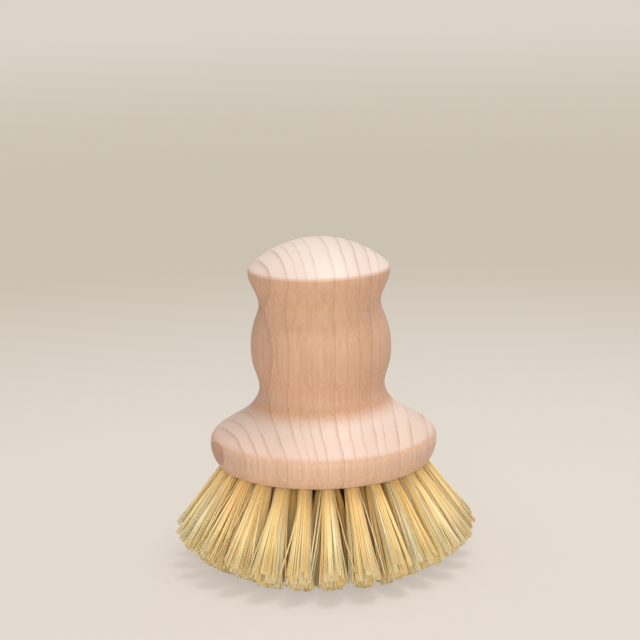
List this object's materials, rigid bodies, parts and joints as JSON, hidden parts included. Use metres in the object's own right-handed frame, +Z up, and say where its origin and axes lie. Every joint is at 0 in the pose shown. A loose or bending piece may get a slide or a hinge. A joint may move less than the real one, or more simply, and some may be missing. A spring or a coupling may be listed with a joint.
{
  "type": "palm brush",
  "caption": "Round palm brush: turned wooden knob handle on a wide flange, with fanned tufts of stiff plant fibre.",
  "frame": {"origin": "on the floor under the middle of the handle, where the brush stands on its cut fibre tips", "axes": "+Z up along the handle's turned axis, -Y towards the viewer; round about Z"},
  "size_m": [0.0898, 0.09, 0.0956],
  "materials": {
    "beech": "sanded, unvarnished, satin",
    "plant_fibre": "stiff straw-coloured fibre, cut tips",
    "wire": "drawn wire"
  },
  "bodies": {
    "root": {"handle": "beech", "drilled_base": "beech", "tuft_outer_01": "plant_fibre", "tuft_outer_02": "plant_fibre", "tuft_outer_03": "plant_fibre", "tuft_outer_04": "plant_fibre", "tuft_outer_05": "plant_fibre", "tuft_outer_06": "plant_fibre", "tuft_outer_07": "plant_fibre", "tuft_outer_08": "plant_fibre", "tuft_outer_09": "plant_fibre", "tuft_outer_10": "plant_fibre", "tuft_outer_11": "plant_fibre", "tuft_outer_12": "plant_fibre", "tuft_outer_13": "plant_fibre", "tuft_outer_14": "plant_fibre", "tuft_outer_15": "plant_fibre", "tuft_outer_16": "plant_fibre", "tuft_outer_17": "plant_fibre", "tuft_outer_18": "plant_fibre", "tuft_outer_19": "plant_fibre", "tuft_outer_20": "plant_fibre", "tuft_outer_21": "plant_fibre", "tuft_outer_22": "plant_fibre", "tuft_outer_23": "plant_fibre", "tuft_outer_24": "plant_fibre", "tuft_outer_25": "plant_fibre", "tuft_outer_26": "plant_fibre", "tuft_middle_01": "plant_fibre", "tuft_middle_02": "plant_fibre", "tuft_middle_03": "plant_fibre", "tuft_middle_04": "plant_fibre", "tuft_middle_05": "plant_fibre", "tuft_middle_06": "plant_fibre", "tuft_middle_07": "plant_fibre", "tuft_middle_08": "plant_fibre", "tuft_middle_09": "plant_fibre", "tuft_middle_10": "plant_fibre", "tuft_middle_11": "plant_fibre", "tuft_middle_12": "plant_fibre", "tuft_middle_13": "plant_fibre", "tuft_inner_01": "plant_fibre", "tuft_inner_02": "plant_fibre", "tuft_inner_03": "plant_fibre", "tuft_inner_04": "plant_fibre", "tuft_inner_05": "plant_fibre", "tuft_inner_06": "plant_fibre", "tuft_centre_01": "plant_fibre", "wire_staples": "wire"}
  },
  "joints": []
}
